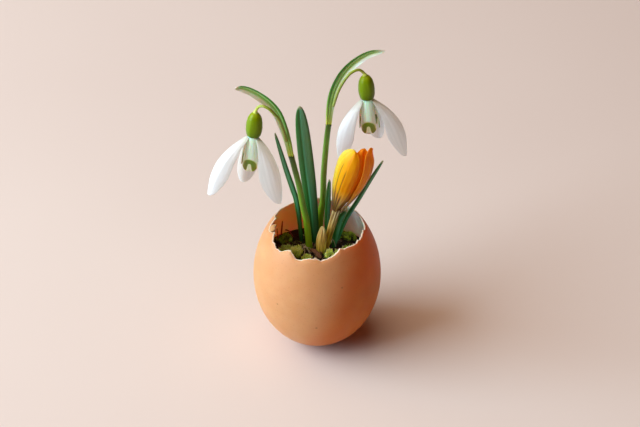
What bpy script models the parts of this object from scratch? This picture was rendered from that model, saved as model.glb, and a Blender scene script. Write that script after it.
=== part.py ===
"""A brown hen's eggshell used as a tiny planter.

The broken shell stands on its blunt end, filled with soil and moss. Two
snowdrops and a yellow crocus grow in it. One object is made for each piece.
Sizes below are in millimetres; the shapes are built in metres. Z is up, X
runs across the arrangement, and the rest spot's middle is the origin.
"""
import math

import bmesh
import bpy
from mathutils import Vector

MM = 0.001
GAP = 0.3                      # clear space between pieces that touch

# ---- the egg -------------------------------------------------------------
EGG_LENGTH = 56.5              # whole egg, blunt end to pointed end
EGG_RADIUS = 22.0              # at its widest ring
EGG_SKEW = 1.24                # sets the widest ring towards the blunt end
FOOT_CUT = 0.7                 # flat taken off the blunt end, to stand on
WALL = 0.45                    # shell and membrane
WIDEST_COLUMN = 7.0            # degrees between two columns of the shell
SHELL_ROWS = 10

# The broken edge: (angle round the egg in degrees from +X, height).
BROKEN_EDGE = [
    (-172, 45.7), (-165, 46.3), (-160, 47.1), (-153, 45.0), (-145, 44.5), (-135, 44.2),
    (-130, 45.4), (-123, 45.8), (-115, 44.1), (-108, 43.8), (-103, 44.4), (-93, 44.8),
    (-86, 44.1), (-79, 44.4), (-72, 44.8), (-61, 46.5), (-48, 46.0), (-36, 45.5),
    (-31, 46.2), (-22, 45.6), (-12, 46.5), (-6, 45.6), (9, 46.3), (25, 46.8),
    (40, 46.2), (58, 47.8), (74, 46.9), (92, 47.9), (105, 47.1), (118, 47.6),
    (128, 46.7), (145, 46.7), (158, 47.6), (166, 47.5), (175, 48.5), (181, 46.1),
]

# ---- soil and moss -------------------------------------------------------
SOIL_LEVEL = 32.0
SOIL_CLEARANCE = 0.55          # between the soil and the shell's flat facets
SOIL_COLUMNS = 36
SOIL_ROWS = 8
SOIL_RINGS = 5
# Moss clumps: (x, y, radius along x, radius along y, height above the soil)
MOSS = [
    (-11.8, 12.2, 2.5, 2.2, 3.2),
    (-11.0, 5.4, 2.6, 2.2, 1.9),
    (-7.3, 3.4, 1.5, 1.5, 3.4),
    (-3.6, 0.0, 1.5, 1.5, 2.2),
    (5.4, 1.4, 2.2, 2.4, 3.0),
    (10.8, 13.6, 2.6, 2.0, 2.5),
    (11.6, 5.6, 2.8, 2.2, 1.6),
    (-13.6, -3.4, 2.6, 2.8, 2.0),
    (-4.4, -8.6, 3.0, 2.4, 1.8),
    (6.6, -9.4, 3.2, 2.6, 2.2),
    (14.0, -2.6, 2.2, 2.6, 1.7),
]

# ---- snowdrops -----------------------------------------------------------
STEM_FOOT_RADIUS = 1.2
STEM_TOP_RADIUS = 0.95
PEDICEL_RADIUS = 0.5
SPATHE_HALF_WIDTH = 1.6
SPATHE_THICKNESS = 1.2
OVARY_RADIUS = 2.7
OVARY_LENGTH = 8.8
OUTER_TEPAL_THICKNESS = 0.5
OUTER_TEPAL_CUP = 0.8          # how far the edges fall back, as a share of the half width
OUTER_TEPAL_ROOT = 1.9         # distance of its root from the flower's axis
# An outer tepal seen from its side: (share of its length, share of its bulge)
SPOON = [(0.0, 0.0), (0.25, 0.68), (0.5, 1.0), (0.75, 0.74), (1.0, 0.0)]
INNER_TEPAL_LENGTH = 11.8
INNER_TEPAL_FLARE = 12.0       # degrees out from the flower's axis
INNER_TEPAL_HALF_WIDTH = 2.5
INNER_TEPAL_THICKNESS = 0.35
INNER_TEPAL_CUP = 0.54

# Each flower: the stem's route, the spathe's and the flower stalk's, where
# the ovary starts and which way the flower hangs, then its outer tepals as
# (direction round the axis, flare from the axis, length, half width, bulge).
SNOWDROPS = {
    "left": {
        "stem": [(-2.8, 6.5, 32.5), (-3.6, 6.3, 43.3), (-4.8, 6.0, 50.2),
                 (-6.2, 5.5, 59.5), (-8.6, 5.0, 71.0)],
        "spathe": [(-8.7, 5.0, 71.4), (-9.7, 4.8, 77.0), (-11.2, 4.6, 82.9),
                   (-13.2, 4.4, 88.2), (-16.4, 4.2, 92.4), (-20.4, 4.0, 95.6),
                   (-23.6, 3.8, 97.3), (-26.2, 3.6, 97.6)],
        "pedicel": [(-11.1, 2.6, 82.1), (-12.3, 2.5, 86.4), (-13.8, 2.3, 88.8),
                    (-15.4, 2.4, 90.6), (-17.1, 2.9, 91.4), (-18.4, 3.6, 91.1),
                    (-19.5, 4.0, 89.8), (-20.0, 4.0, 88.8)],
        "ovary": (-20.0, 4.0, 88.5),
        "hang": (-0.09, -0.02, -1.0),
        "inner_turn": -101.0,
        "outer": [(-162.0, 30.5, 24.7, 4.6, 3.8), (-38.0, 29.7, 23.3, 4.6, 3.0),
                  (105.0, 14.0, 23.3, 3.5, 2.4)],
    },
    "right": {
        "stem": [(0.6, 12.5, 32.4), (1.2, 12.7, 42.2), (2.0, 13.0, 47.9),
                 (2.3, 13.5, 59.1), (3.2, 14.2, 71.1), (3.9, 14.5, 77.4)],
        "spathe": [(3.9, 14.5, 77.8), (4.2, 14.5, 82.3), (4.9, 14.5, 87.3), (6.3, 14.5, 91.9),
                   (8.9, 14.5, 97.0), (12.6, 14.5, 101.1), (17.0, 14.5, 104.1), (22.0, 14.5, 105.3)],
        "pedicel": [(6.4, 12.5, 89.1), (7.4, 12.4, 92.3), (8.8, 12.3, 95.2),
                    (10.4, 12.4, 97.6), (12.1, 13.2, 98.6), (13.7, 14.0, 98.6),
                    (15.0, 14.5, 97.5), (15.7, 14.5, 96.7)],
        "ovary": (15.8, 14.5, 96.4),
        "hang": (0.09, 0.0, -1.0),
        "inner_turn": -96.0,
        "outer": [(-160.0, 27.0, 22.4, 4.5, 3.7), (-18.0, 26.5, 23.3, 4.7, 4.1),
                  (66.0, 12.5, 19.6, 3.6, 2.4)],
    },
}

# ---- crocus --------------------------------------------------------------
CROCUS_TUBE = [(2.8, 5.5, 32.5), (4.1, 5.4, 38.5), (5.4, 5.2, 44.1), (6.7, 5.0, 49.0)]
CROCUS_BASE = (6.9, 5.0, 49.6)
CROCUS_AXIS = (0.28, -0.10, 0.955)
CROCUS_LENGTH = 27.2
# The closed cup: (share of the height from throat to mouth, radius)
CROCUS_CUP = [(0.0, 1.3), (0.08, 1.9), (0.25, 3.4), (0.42, 4.5), (0.60, 5.2), (0.75, 5.4),
              (0.89, 4.9), (1.0, 3.9)]
CROCUS_TEPAL_THICKNESS = 0.4
# Tepals: (direction round the axis, distance added to the cup's radius at
# the throat and at the mouth, half of the angle that it spans, length as a
# share of the flower's, turn of its tip, distance that its tip curls in)
CROCUS_TIP_POWER = 8           # how late that turn and that curl come
CROCUS_TEPALS = {
    "crocus_outer_tepal_1": (-138.0, 0.52, 0.3, 52.0, 1.03, 8.0, 0.3),
    "crocus_outer_tepal_2": (-20.0, 0.52, 0.6, 47.0, 1.1, -26.0, 1.3),
    "crocus_outer_tepal_3": (106.0, 0.52, 0.3, 44.0, 0.7, 0.0, 0.0),
    "crocus_inner_tepal_1": (-76.0, -0.52, -0.5, 50.0, 1.08, -10.0, 0.8),
    "crocus_inner_tepal_2": (46.0, -0.52, -0.8, 44.0, 0.84, 0.0, 0.0),
    "crocus_inner_tepal_3": (168.0, -0.52, -0.8, 44.0, 0.84, 0.0, 0.0),
}

# ---- leaves --------------------------------------------------------------
# (route from the soil to the tip, half width, thickness, which way it faces,
# how deep its channel is as a share of the half width)
LEAVES = {
    "leaf_left_thin": ([(-5.6, 10.5, 32.4), (-6.9, 10.0, 47.9), (-8.4, 9.7, 54.7),
                        (-10.6, 9.0, 63.4), (-13.9, 8.0, 78.0)],
                       1.0, 0.9, (-0.2, -1.0, 0.1), 0.3),
    "leaf_centre_broad": ([(-0.9, 10.2, 32.4), (-2.1, 9.8, 50.1), (-3.5, 9.5, 64.6),
                           (-4.8, 9.2, 78.6), (-5.7, 9.0, 87.7)],
                          2.55, 1.0, (0.1, -1.0, 0.1), 0.35),
    "leaf_middle_short": ([(3.4, 9.0, 32.4), (3.5, 9.1, 41.0), (3.8, 9.2, 50.0), (4.2, 9.2, 58.8)],
                          1.0, 0.8, (0.3, -1.0, 0.0), 0.3),
    "leaf_right_thin": ([(7.0, 10.9, 32.4), (9.2, 9.0, 40.2), (11.0, 7.7, 45.7),
                         (14.1, 7.0, 52.2), (18.2, 6.8, 60.7), (22.0, 6.8, 68.0)],
                        0.8, 0.8, (0.2, -1.0, 0.2), 0.3),
    "leaf_right_short": ([(6.0, 7.8, 32.4), (6.9, 7.3, 39.0), (8.0, 6.8, 44.0), (9.7, 6.3, 48.0)],
                         1.35, 0.7, (0.4, -1.0, 0.2), 0.3),
    "crocus_sheath": ([(0.8, 3.1, 32.5), (0.8, 3.0, 35.8), (1.3, 3.1, 39.6), (2.0, 3.2, 43.6)],
                      1.75, 0.5, (-0.45, -1.0, 0.1), 0.4),
}

# ---- colours (linear), roughness ----------------------------------------
FINISHES = {
    "eggshell": ((0.60, 0.28, 0.12), 0.55),
    "soil": ((0.012, 0.008, 0.005), 0.95),
    "moss": ((0.10, 0.15, 0.015), 0.9),
    "stem": ((0.18, 0.25, 0.03), 0.45),
    "spathe": ((0.16, 0.24, 0.06), 0.5),
    "ovary": ((0.20, 0.28, 0.01), 0.35),
    "tepal": ((0.75, 0.76, 0.76), 0.5),
    "crocus_tepal": ((0.80, 0.36, 0.01), 0.45),
    "crocus_tube": ((0.25, 0.15, 0.06), 0.7),
    "sheath": ((0.40, 0.30, 0.12), 0.75),
    "leaf": ((0.03, 0.10, 0.035), 0.45),
}


def finish_material(name):
    """Make, or reuse, the Principled material of one finish."""
    if name in bpy.data.materials:
        return bpy.data.materials[name]
    colour, roughness = FINISHES[name]
    material = bpy.data.materials.new(name)
    material.use_nodes = True
    shader = material.node_tree.nodes["Principled BSDF"]
    shader.inputs["Base Color"].default_value = (*colour, 1.0)
    shader.inputs["Roughness"].default_value = roughness
    return material


def add_piece(name, finish, rings, smooth=True):
    """Join rings of points (mm) into one closed body: sides, then two caps.

    Every ring has as many points as the first, wound anticlockwise seen from
    beyond the last ring. A ring of one point closes that end in a tip.
    """
    bm = bmesh.new()
    loops = [[bm.verts.new(Vector(p) * MM) for p in ring] for ring in rings]
    for low, high in zip(loops, loops[1:]):
        count = max(len(low), len(high))
        for i in range(count):
            j = (i + 1) % count
            if len(low) == 1:
                bm.faces.new((low[0], high[j], high[i]))
            elif len(high) == 1:
                bm.faces.new((low[i], low[j], high[0]))
            else:
                bm.faces.new((low[i], low[j], high[j], high[i]))
    if len(loops[0]) > 1:
        bm.faces.new(loops[0][::-1])
    if len(loops[-1]) > 1:
        bm.faces.new(loops[-1])
    bmesh.ops.recalc_face_normals(bm, faces=bm.faces)
    bmesh.ops.triangulate(bm, faces=bm.faces)
    mesh = bpy.data.meshes.new(name)
    bm.to_mesh(mesh)
    bm.free()
    if smooth:
        mesh.shade_smooth()
        mesh.set_sharp_from_angle(angle=math.radians(50))
    mesh.materials.append(finish_material(finish))
    piece = bpy.data.objects.new(name, mesh)
    bpy.context.collection.objects.link(piece)
    return piece


def smooth_route(points, shares):
    """Points of a Catmull-Rom curve through the given ones, at shares 0 to 1 of it."""
    pts = [Vector(p) for p in points]
    pts = [2 * pts[0] - pts[1]] + pts + [2 * pts[-1] - pts[-2]]
    spans = len(pts) - 3
    route = []
    for share in shares:
        where = spans * share
        i = min(int(where), spans - 1)
        t = where - i
        a, b, c, d = pts[i:i + 4]
        route.append(0.5 * (2 * b + (c - a) * t + (2 * a - 5 * b + 4 * c - d) * t * t
                            + (3 * b - a - 3 * c + d) * t ** 3))
    return route


def toward_tip(stations):
    """Shares 0 to 1 that crowd together at the tip, where an outline turns fastest."""
    return [math.sin(math.pi / 2 * k / (stations - 1)) for k in range(stations)]


def tangents(route):
    """Unit direction of travel at each point of a route."""
    last = len(route) - 1
    return [(route[min(i + 1, last)] - route[max(i - 1, 0)]).normalized() for i in range(last + 1)]


def tube(name, finish, points, radius_at, sides=8, stations=10):
    """A round stem along a smooth route; radius_at(t) runs from foot to tip."""
    shares = [k / (stations - 1) for k in range(stations)]
    route = smooth_route(points, shares)
    rings = []
    side = Vector((1.0, 0.0, 0.0))
    for share, centre, ahead in zip(shares, route, tangents(route)):
        side = (side - ahead * side.dot(ahead)).normalized()
        other = ahead.cross(side)
        radius = radius_at(share)
        turns = [math.tau * i / sides for i in range(sides)]
        rings.append([centre + (side * math.cos(a) + other * math.sin(a)) * radius for a in turns])
    return add_piece(name, finish, rings)


def blade(name, finish, points, half_width_at, thickness, facing, cup, across=5, stations=8):
    """A leaf or tepal: thin, curved across, its outer side towards `facing`.

    Seen from the outer side it is convex: where it is widest, its edges fall
    back by `cup` times the half width. It ends in a small blunt tip.
    """
    shares = toward_tip(stations)
    route = smooth_route(points, shares)
    facing = Vector(facing)
    spread = [2 * i / (across - 1) - 1 for i in range(across)]
    widest = max(half_width_at(share) for share in shares)
    rings = []
    for share, centre, ahead in zip(shares, route, tangents(route)):
        side = ahead.cross(facing).normalized()
        out = side.cross(ahead)
        half = half_width_at(share)
        ring = []
        for sign in (1, -1):
            for u in (spread if sign > 0 else spread[::-1]):
                thick = thickness * (1.0 - 0.5 * u * u)
                fall = -cup * half * half / widest * u * u + sign * thick / 2
                ring.append(centre + side * (u * half) + out * fall)
        rings.append(ring)
    return add_piece(name, finish, rings)


# ---- shell ---------------------------------------------------------------
def egg_radius(height):
    """Radius of the egg's outer surface at a height above the rest spot."""
    x = height + FOOT_CUT - EGG_LENGTH / 2
    top = max(EGG_LENGTH ** 2 - 4 * x * x, 0.0)
    return EGG_RADIUS * math.sqrt(top / (EGG_LENGTH ** 2 + 8 * EGG_SKEW * x + 4 * EGG_SKEW ** 2))


def inset_radius(height, depth):
    """Radius of the surface that lies `depth` inside the egg's."""
    step = 0.05
    slope = (egg_radius(height + step) - egg_radius(height - step)) / (2 * step)
    return egg_radius(height) - depth * math.sqrt(1 + slope * slope)


def straight_between(corners, x):
    """Value at x on straight lines through (x, value) corners in rising order."""
    for (a, low), (b, high) in zip(corners, corners[1:]):
        if a <= x <= b:
            return low + (high - low) * (x - a) / (b - a)
    return corners[-1][1]


def edge_height(angle):
    """Height of the broken edge at an angle in degrees."""
    first = BROKEN_EDGE[0]
    corners = BROKEN_EDGE + [(first[0] + 360, first[1])]
    return straight_between(corners, (angle - first[0]) % 360 + first[0])


def shell_columns():
    """Angles of the shell's columns: every corner of the edge, and even steps between."""
    corners = [a for a, _ in BROKEN_EDGE] + [BROKEN_EDGE[0][0] + 360]
    angles = []
    for a, b in zip(corners, corners[1:]):
        steps = math.ceil((b - a) / WIDEST_COLUMN)
        angles += [a + (b - a) * i / steps for i in range(steps)]
    return angles


def ring_point(angle, radius, height):
    turn = math.radians(angle)
    return (radius * math.cos(turn), radius * math.sin(turn), height)


def eased(k, count):
    """Row positions from 0 to 1, closer together at the start, where the egg curves most."""
    t = k / count
    return t * t * 0.7 + t * 0.3


def build_shell():
    """The broken shell: out along the rest spot, up outside, down inside."""
    columns = shell_columns()
    rings = []
    for k in range(SHELL_ROWS + 1):
        share = eased(k, SHELL_ROWS)
        rings.append([ring_point(a, egg_radius(edge_height(a) * share), edge_height(a) * share)
                      for a in columns])
    for k in range(SHELL_ROWS, -1, -1):
        share = eased(k, SHELL_ROWS)
        ring = []
        for a in columns:
            height = WALL + (edge_height(a) - WALL) * share
            ring.append(ring_point(a, inset_radius(height, WALL), height))
        rings.append(ring)
    return add_piece("eggshell", "eggshell", rings)


# ---- soil and moss -------------------------------------------------------
def soil_height(x, y):
    """Gently uneven top of the soil, sinking a little towards the shell."""
    waves = 0.35 * math.sin(0.37 * x + 1.0) * math.cos(0.31 * y) + 0.2 * math.sin(0.6 * y + 0.35 * x)
    return SOIL_LEVEL + waves - 0.0035 * (x * x + y * y)


def soil_radius(height):
    return inset_radius(height, WALL) - SOIL_CLEARANCE


def build_soil():
    """Soil up to its level: rings up the side, then rings in across the top."""
    angles = [360.0 * i / SOIL_COLUMNS for i in range(SOIL_COLUMNS)]
    brim = []
    for a in angles:
        reach = ring_point(a, soil_radius(SOIL_LEVEL - 1), 0)
        brim.append(soil_height(reach[0], reach[1]))
    bottom = WALL + SOIL_CLEARANCE
    rings = []
    for k in range(SOIL_ROWS + 1):
        share = eased(k, SOIL_ROWS)
        ring = []
        for a, top in zip(angles, brim):
            height = bottom + (top - bottom) * share
            ring.append(ring_point(a, soil_radius(height), height))
        rings.append(ring)
    for k in range(1, SOIL_RINGS):
        share = 1 - k / SOIL_RINGS
        ring = []
        for a, top in zip(angles, brim):
            x, y, _ = ring_point(a, soil_radius(top) * share, 0)
            ring.append((x, y, soil_height(x, y)))
        rings.append(ring)
    rings.append([(0.0, 0.0, soil_height(0, 0))])
    return add_piece("soil", "soil", rings)


def build_moss():
    """Lumpy cushions that follow the soil under them."""
    columns, rows = 10, 3
    for number, (x, y, rx, ry, tall) in enumerate(MOSS, start=1):
        def at(turn, share, lift):
            lump = 1 + 0.12 * math.sin(3 * turn + number) + 0.06 * math.sin(5 * turn + 2 * number)
            px = x + rx * share * lump * math.cos(turn)
            py = y + ry * share * lump * math.sin(turn)
            return (px, py, soil_height(px, py) + GAP + lift)
        turns = [math.tau * i / columns for i in range(columns)]
        rings = [[at(0.0, 0.0, 0.0)], [at(a, 0.9, 0.0) for a in turns]]
        for k in range(rows):
            rise = 0.25 + 0.65 * k / (rows - 1)
            share = math.sqrt(1 - rise * rise) ** 0.8
            rings.append([at(a, share * 1.02, tall * rise) for a in turns])
        rings.append([at(0.0, 0.0, tall)])
        add_piece(f"moss_{number}", "moss", rings)


# ---- flowers -------------------------------------------------------------
def tapered(foot, top):
    return lambda t: foot + (top - foot) * t


def petal_width(half, claw, fullest=0.5, tip=0.12):
    """Half width along a tepal: a narrow claw, widest at `fullest`, a rounded tip."""
    def at(t):
        if t < fullest:
            swell = math.sin(math.pi / 2 * t / fullest)
            return claw + (half - claw) * swell
        fall = (t - fullest) / (1 - fullest)
        return tip + (half - tip) * math.sqrt(max(1 - fall * fall, 0.0))
    return at


def around(axis, turn):
    """Unit vector square to a flower's axis, at `turn` degrees from +X as seen from above."""
    flat = Vector((math.cos(math.radians(turn)), math.sin(math.radians(turn)), 0.0))
    return (flat - axis * flat.dot(axis)).normalized()


def build_ovary(name, top, hang):
    """The green ovary: a turned barrel, fuller towards its lower half."""
    profile = [(0.10, 0.62), (0.24, 0.84), (0.42, 0.97), (0.60, 1.0), (0.78, 0.94), (0.92, 0.78)]
    side = around(hang, 0.0)
    other = hang.cross(side)
    rings = [[top]]
    for share, radius in profile:
        centre = top + hang * (OVARY_LENGTH * share)
        ring = []
        for i in range(10):
            turn = math.tau * i / 10
            out = side * math.cos(turn) + other * math.sin(turn)
            ring.append(centre + out * (radius * OVARY_RADIUS))
        rings.append(ring)
    rings.append([centre + (p - centre) * 0.72 + hang * (OVARY_LENGTH * 0.08) for p in rings[-1]])
    add_piece(name, "ovary", rings)


def build_snowdrop(side_name, plan):
    prefix = f"snowdrop_{side_name}"
    tube(f"{prefix}_stem", "stem", plan["stem"], tapered(STEM_FOOT_RADIUS, STEM_TOP_RADIUS))
    spathe_width = petal_width(SPATHE_HALF_WIDTH, 0.95, fullest=0.55, tip=0.15)
    blade(f"{prefix}_spathe", "spathe", plan["spathe"], spathe_width, SPATHE_THICKNESS, (0, -1, 0),
          0.1, across=4, stations=10)
    tube(f"{prefix}_pedicel", "stem", plan["pedicel"], tapered(PEDICEL_RADIUS, PEDICEL_RADIUS), 6)
    hang = Vector(plan["hang"]).normalized()
    top = Vector(plan["ovary"])
    build_ovary(f"{prefix}_ovary", top, hang)
    throat = top + hang * (OVARY_LENGTH + GAP)
    for number, (turn, flare, length, half, bulge) in enumerate(plan["outer"], start=1):
        out = around(hang, turn)
        lean = math.radians(flare)
        heading = hang * math.cos(lean) + out * math.sin(lean)
        square = out * math.cos(lean) - hang * math.sin(lean)
        root = throat + out * OUTER_TEPAL_ROOT
        route = [root + heading * (length * share) + square * (bulge * rise) for share, rise in SPOON]
        blade(f"{prefix}_outer_tepal_{number}", "tepal", route, petal_width(half, 0.8, fullest=0.6),
              OUTER_TEPAL_THICKNESS, square, OUTER_TEPAL_CUP)
    for number in range(3):
        out = around(hang, plan["inner_turn"] + 120.0 * number)
        lean = math.radians(INNER_TEPAL_FLARE)
        heading = hang * math.cos(lean) + out * math.sin(lean)
        square = out * math.cos(lean) - hang * math.sin(lean)
        root = throat + out
        route = [root, root + heading * (INNER_TEPAL_LENGTH * 0.5) + square * 0.45,
                 root + heading * INNER_TEPAL_LENGTH]
        width = petal_width(INNER_TEPAL_HALF_WIDTH, 0.5, fullest=0.9, tip=1.4)
        blade(f"{prefix}_inner_tepal_{number + 1}", "tepal", route, width, INNER_TEPAL_THICKNESS,
              square, INNER_TEPAL_CUP, stations=6)


def crocus_tepal_width(share):
    """How much of its span a crocus tepal fills: narrow at the throat, round at the tip."""
    swell = 0.6 + 0.4 * math.sin(math.pi / 2 * min(share / 0.45, 1.0))
    return swell * math.sqrt(1 - (max(share - 0.72, 0.0) / 0.284) ** 2.8)


def build_crocus():
    tube("crocus_tube", "crocus_tube", CROCUS_TUBE, tapered(1.15, 1.45))
    axis = Vector(CROCUS_AXIS).normalized()
    base = Vector(CROCUS_BASE)
    across, stations = 5, 8
    for name, tepal in CROCUS_TEPALS.items():
        turn, at_throat, at_mouth, span, length, tip_turn, tip_in = tepal
        rings = []
        for share in toward_tip(stations):
            radius = straight_between(CROCUS_CUP, share * length)
            late = share ** CROCUS_TIP_POWER
            radius += at_throat + (at_mouth - at_throat) * share - tip_in * late
            reach = span * crocus_tepal_width(share)
            facing = turn + tip_turn * late
            height = base + axis * (CROCUS_LENGTH * length * share)
            ring = []
            for sign in (1, -1):
                for i in range(across):
                    u = (2 * i / (across - 1) - 1) * sign
                    out = around(axis, facing + u * reach)
                    half_thick = CROCUS_TEPAL_THICKNESS / 2 * (1 - 0.4 * u * u)
                    ring.append(height + out * (radius + sign * half_thick))
            rings.append(ring)
        add_piece(name, "crocus_tepal", rings)


def build_leaves():
    for name, (points, half, thickness, facing, cup) in LEAVES.items():
        finish = "sheath" if name == "crocus_sheath" else "leaf"
        fullest = 0.25 if name == "crocus_sheath" else 0.5
        width = petal_width(half, half * 0.6, fullest, tip=0.15)
        blade(name, finish, points, width, thickness, facing, cup)


def main():
    for old in list(bpy.data.objects):
        bpy.data.objects.remove(old, do_unlink=True)
    build_shell()
    build_soil()
    build_moss()
    for side_name, plan in SNOWDROPS.items():
        build_snowdrop(side_name, plan)
    build_crocus()
    build_leaves()


main()
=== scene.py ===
# %% [markdown]
# # A tiny spring garden in an eggshell
#
# The broken shell of a brown hen's egg holds soil and moss, and two snowdrops and a
# yellow crocus grow in it. The cells below make each thing as a maker of botanical
# models would: the shell first, then what fills it, then the plants from the stem
# upwards. Lengths are in millimetres, as an egg or a petal is measured, and turn into
# Blender's metres in one place. The plain model that comes with the frame fixes every
# size, and nearly every piece here stands for one of its solids.

# %% Load the frame and the tools
import math

import bmesh
import bpy
import numpy as np
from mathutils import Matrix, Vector, noise


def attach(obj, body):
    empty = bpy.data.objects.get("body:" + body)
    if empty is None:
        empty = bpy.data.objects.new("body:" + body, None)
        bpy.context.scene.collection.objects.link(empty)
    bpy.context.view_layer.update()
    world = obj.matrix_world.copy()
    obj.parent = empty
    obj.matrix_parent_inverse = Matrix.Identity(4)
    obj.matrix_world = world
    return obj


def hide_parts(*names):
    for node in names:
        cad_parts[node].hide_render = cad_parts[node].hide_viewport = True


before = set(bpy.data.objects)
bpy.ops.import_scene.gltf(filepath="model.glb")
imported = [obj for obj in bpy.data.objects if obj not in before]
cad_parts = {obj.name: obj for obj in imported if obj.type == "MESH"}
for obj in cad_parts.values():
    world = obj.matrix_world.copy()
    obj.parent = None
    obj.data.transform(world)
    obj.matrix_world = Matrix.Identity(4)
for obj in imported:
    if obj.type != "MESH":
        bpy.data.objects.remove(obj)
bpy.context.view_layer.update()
MM = 0.001

# %% [markdown]
# ## Camera
#
# The camera looks down at 35 degrees, the height of someone seated at the table, and
# a portrait lens keeps the egg from bulging towards the viewer.

# %% Camera
camera_data = bpy.data.cameras.new("portrait_lens")
camera_data.lens = 85
camera_data.sensor_width = 36
camera_data.clip_start = 0.01
camera = bpy.data.objects.new("camera", camera_data)
camera.location = (0.00098, -0.41613, 0.34268)
camera.rotation_euler = (math.radians(55), 0, 0)
bpy.context.collection.objects.link(camera)
bpy.context.scene.camera = camera

# %% [markdown]
# ## One way to add a shader node
#
# Every finish below is a small network of nodes. One function adds a node: settings
# are the node's own options, `inputs` fills its sockets and `stops` are the places
# and colours of a ramp. A socket takes a value, another node's output, or simply
# another node, and then that node's first output in use is linked.

# %% Shader helpers
def linear(hex_colour):
    """An sRGB hex colour as the linear RGBA that shader sockets take."""
    channels = [int(hex_colour[i:i + 2], 16) / 255 for i in (1, 3, 5)]
    return (*[c / 12.92 if c < 0.04045 else ((c + 0.055) / 1.055) ** 2.4 for c in channels], 1.0)


def fill(node, inputs):
    """Set or link a node's sockets by name."""
    for name, value in inputs.items():
        if isinstance(value, bpy.types.Node):
            value = next(socket for socket in value.outputs if socket.enabled)
        if isinstance(value, bpy.types.NodeSocket):
            node.id_data.links.new(value, node.inputs[name])
        else:
            node.inputs[name].default_value = value


def add_node(owner, kind, inputs=None, stops=(), **settings):
    """Add a node to a material or a world."""
    node = owner.node_tree.nodes.new("ShaderNode" + kind)
    for name, value in settings.items():
        setattr(node, name, value)
    fill(node, inputs or {})
    for _ in stops[2:]:
        node.color_ramp.elements.new(1.0)
    for number, (place, colour) in enumerate(stops):
        element = node.color_ramp.elements[number]
        element.position, element.color = place, linear(colour)
    return node


def new_material(name, **shader_values):
    """A material and its Principled shader, with plain values on the shader's sockets."""
    material = bpy.data.materials.new(name)
    material.use_nodes = True
    shader = material.node_tree.nodes["Principled BSDF"]
    fill(shader, {socket.replace("_", " "): value for socket, value in shader_values.items()})
    print("finish:", name)
    return material, shader


# %% [markdown]
# ## Light
#
# A big window stands to the left and a little in front. Being nearly as large as it
# is far away, it gives shadows with wide soft edges. The room around returns a dim
# warm light, and shade is painted into the shell's colour on the side away from the
# window; together they turn the shaded side of the egg a deep orange brown.
# Paper white petals burn out easily, so colours are shown without a film curve.

# %% Window and room
EGG_MIDDLE = Vector((0, 0, 0.03))


def area_light(name, place, size, power, colour):
    """A square lamp in watts, turned towards the egg."""
    lamp = bpy.data.lights.new(name, "AREA")
    lamp.shape, lamp.size, lamp.energy, lamp.color = "SQUARE", size, power, linear(colour)[:3]
    holder = bpy.data.objects.new(name, lamp)
    holder.location = place
    holder.rotation_euler = (EGG_MIDDLE - Vector(place)).to_track_quat("-Z", "Y").to_euler()
    bpy.context.collection.objects.link(holder)


area_light("window", (-1.36, -0.27, 0.72), 1.43, 48.0, "#d3efff")
area_light("warm_ceiling", (-0.5, 0.0, 1.2), 1.6, 13.5, "#ffdfbe")
room = bpy.data.worlds.new("room")
room.use_nodes = True
room_light = room.node_tree.nodes["Background"]
fill(room_light, {"Color": linear("#ff9a6c"), "Strength": 0.08})
# Seen straight on, the far wall is a pale plaster; the light it sends stays dim and warm.
wall = add_node(room, "Background", {"Color": linear("#ddc9bf")})
seen = add_node(room, "LightPath").outputs["Is Camera Ray"]
either = add_node(room, "MixShader", {0: seen, 1: room_light, 2: wall})
fill(room.node_tree.nodes["World Output"], {"Surface": either})
bpy.context.scene.world = room
bpy.context.scene.view_settings.view_transform = "Standard"
print("a window, a warm ceiling and a dim room")

# %% [markdown]
# ## Table
#
# The garden stands on a smooth board painted a powdery pink beige. A faint broad
# unevenness of the paint keeps it from looking like an empty backdrop.

# %% Painted board
def grainy_material(name, noise, stops, **shader_values):
    """A material coloured by one noise, whose scale counts across the piece's own box."""
    material, shader = new_material(name, **shader_values)
    grain = add_node(material, "TexNoise", noise)
    fill(shader, {"Base Color": add_node(material, "ValToRGB", {"Fac": grain}, stops)})
    return material


board_paint = grainy_material("painted_board_powder_beige", {"Scale": 9.0, "Detail": 2.0},
                              [(0.3, "#e0d1ca"), (0.7, "#e4d6cf")], Roughness=0.75)
board_mesh = bpy.data.meshes.new("board")
board_mesh.from_pydata([(-1, -1, 0), (1, -1, 0), (1, 1, 0), (-1, 1, 0)], [], [(0, 1, 2, 3)])
board_mesh.materials.append(board_paint)
board = bpy.data.objects.new("board", board_mesh)
bpy.context.collection.objects.link(board)
print("board: 2 m square")

# %% [markdown]
# ## From rings to a solid
#
# A shell, a stem and a petal are all a stack of rings: closed loops of points that
# follow each other. One function joins such a stack into a closed mesh. It keeps a
# flat map of the surface in a UV layer, so a material can count veins across a petal
# or measure how far down the shell a place lies.

# %% Loft rings into a piece
def show(mesh, materials, stands_for=None):
    """Put a mesh in the scene as a piece that rides with the part, under the mesh's name."""
    for material in materials:
        mesh.materials.append(material)
    mesh.shade_smooth()
    piece = bpy.data.objects.new(mesh.name, mesh)
    bpy.context.collection.objects.link(piece)
    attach(piece, "root")
    if stands_for:
        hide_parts(stands_for)
    print(f"{mesh.name}: {len(mesh.polygons)} faces")


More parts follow.
